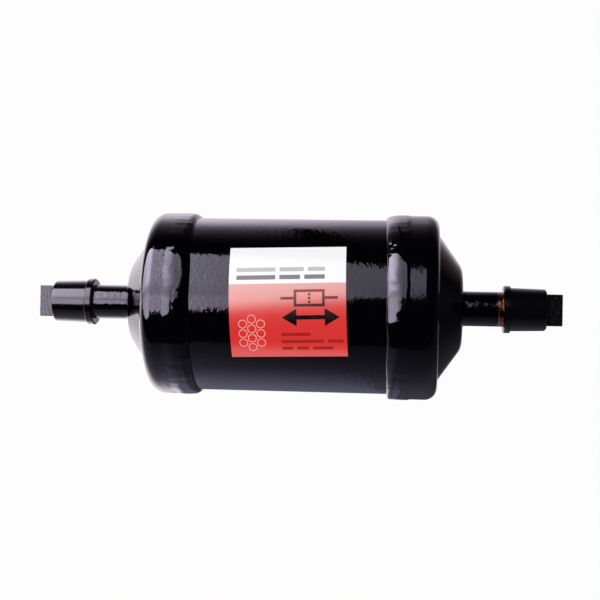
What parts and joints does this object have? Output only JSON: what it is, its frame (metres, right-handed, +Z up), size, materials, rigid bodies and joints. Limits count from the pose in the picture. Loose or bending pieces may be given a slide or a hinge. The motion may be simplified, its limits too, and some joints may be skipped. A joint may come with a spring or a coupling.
{
  "type": "filter drier",
  "caption": "Black steel in-line filter drier with stepped domed ends welded over a barrel, tube stubs under pull-off shipping caps, check valves and a desiccant core.",
  "frame": {"origin": "middle of the barrel, on its axis", "axes": "+X along the flow line towards the right-hand connector, label facing -Y, +Z up"},
  "size_m": [0.2224, 0.0778, 0.0778],
  "materials": {
    "black_enamel": "deep gloss baked enamel with a slight orange peel",
    "cap_plastic": "moulded vinyl, satin, with a grained tab",
    "label_film": "printed film, white head over a red fade",
    "desiccant": "porous moulded block",
    "felt": "pressed white felt",
    "plated_steel": "zinc-plated pressed sheet",
    "spring_steel": "bright hardened strip and wire",
    "turned_brass": "turned, satin",
    "gasket": "pressed sheet gasket"
  },
  "bodies": {
    "drier": {"shell_barrel": "black_enamel", "label": "label_film", "desiccant_core": "desiccant", "core_wrap": "felt", "center_screen": "plated_steel", "core_spring": "spring_steel", "left_end_cap": "black_enamel", "left_weld_bead": "black_enamel", "left_connector": "black_enamel", "left_braze_ring": "black_enamel", "left_valve_plate": "plated_steel", "left_valve_hub": "turned_brass", "left_flapper_stop": "plated_steel", "left_outlet_cage": "plated_steel", "left_core_plate": "plated_steel", "left_core_gasket": "gasket", "right_end_cap": "black_enamel", "right_weld_bead": "black_enamel", "right_connector": "black_enamel", "right_braze_ring": "black_enamel", "right_valve_plate": "plated_steel", "right_valve_hub": "turned_brass", "right_flapper_stop": "plated_steel", "right_outlet_cage": "plated_steel", "right_core_plate": "plated_steel", "right_core_gasket": "gasket"},
    "left_cap": {"left_shipping_cap": "cap_plastic"},
    "left_inlet_valve": {"left_inlet_flapper": "spring_steel"},
    "left_outlet_valve": {"left_outlet_disc": "spring_steel"},
    "right_cap": {"right_shipping_cap": "cap_plastic"},
    "right_inlet_valve": {"right_inlet_flapper": "spring_steel"},
    "right_outlet_valve": {"right_outlet_disc": "spring_steel"}
  },
  "joints": [
    {"name": "left_cap_pull", "type": "slide", "parent": "drier", "child": "left_cap", "axis": [-1, 0, 0], "range_m": [0, 0.05]},
    {"name": "left_inlet_lift", "type": "slide", "parent": "drier", "child": "left_inlet_valve", "axis": [1, 0, 0], "range_m": [0, 0.00195]},
    {"name": "left_outlet_lift", "type": "slide", "parent": "drier", "child": "left_outlet_valve", "axis": [-1, 0, 0], "range_m": [0, 0.002]},
    {"name": "right_cap_pull", "type": "slide", "parent": "drier", "child": "right_cap", "axis": [1, 0, 0], "range_m": [0, 0.05]},
    {"name": "right_inlet_lift", "type": "slide", "parent": "drier", "child": "right_inlet_valve", "axis": [-1, 0, 0], "range_m": [0, 0.00195]},
    {"name": "right_outlet_lift", "type": "slide", "parent": "drier", "child": "right_outlet_valve", "axis": [1, 0, 0], "range_m": [0, 0.002]}
  ]
}
